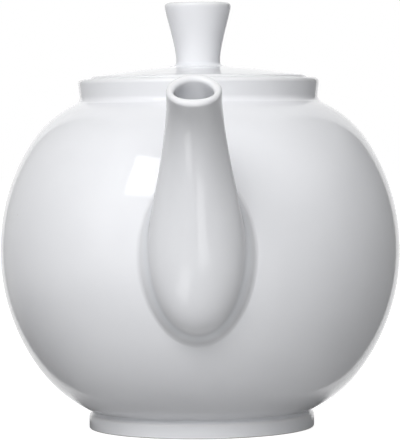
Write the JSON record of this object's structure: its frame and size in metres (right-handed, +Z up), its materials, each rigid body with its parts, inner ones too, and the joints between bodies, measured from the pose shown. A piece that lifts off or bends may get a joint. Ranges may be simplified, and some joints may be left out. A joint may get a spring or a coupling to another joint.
{
  "type": "teapot",
  "caption": "Round white glazed porcelain teapot with an S-curved spout, loop handle, low foot ring and a lift-off lid with a flared knob.",
  "frame": {"origin": "on the pot's axis at the plane that the foot ring stands on", "axes": "+Z up along the pot's axis, -Y towards the spout, +Y towards the handle, +X to the right when the spout faces the viewer"},
  "size_m": [0.146, 0.2237, 0.1553],
  "materials": {
    "white_glaze": "clear gloss glaze over white porcelain, smooth, faintly cool"
  },
  "bodies": {
    "pot": {"bowl": "white_glaze", "foot_ring": "white_glaze", "neck_collar": "white_glaze", "spout": "white_glaze", "handle": "white_glaze"},
    "lid": {"lid_cover": "white_glaze", "lid_flange": "white_glaze", "lid_lug": "white_glaze", "lid_knob": "white_glaze"}
  },
  "joints": [
    {"name": "lid_lift", "type": "slide", "parent": "pot", "child": "lid", "axis": [0, 0, 1], "range_m": [0, 0.045]}
  ]
}
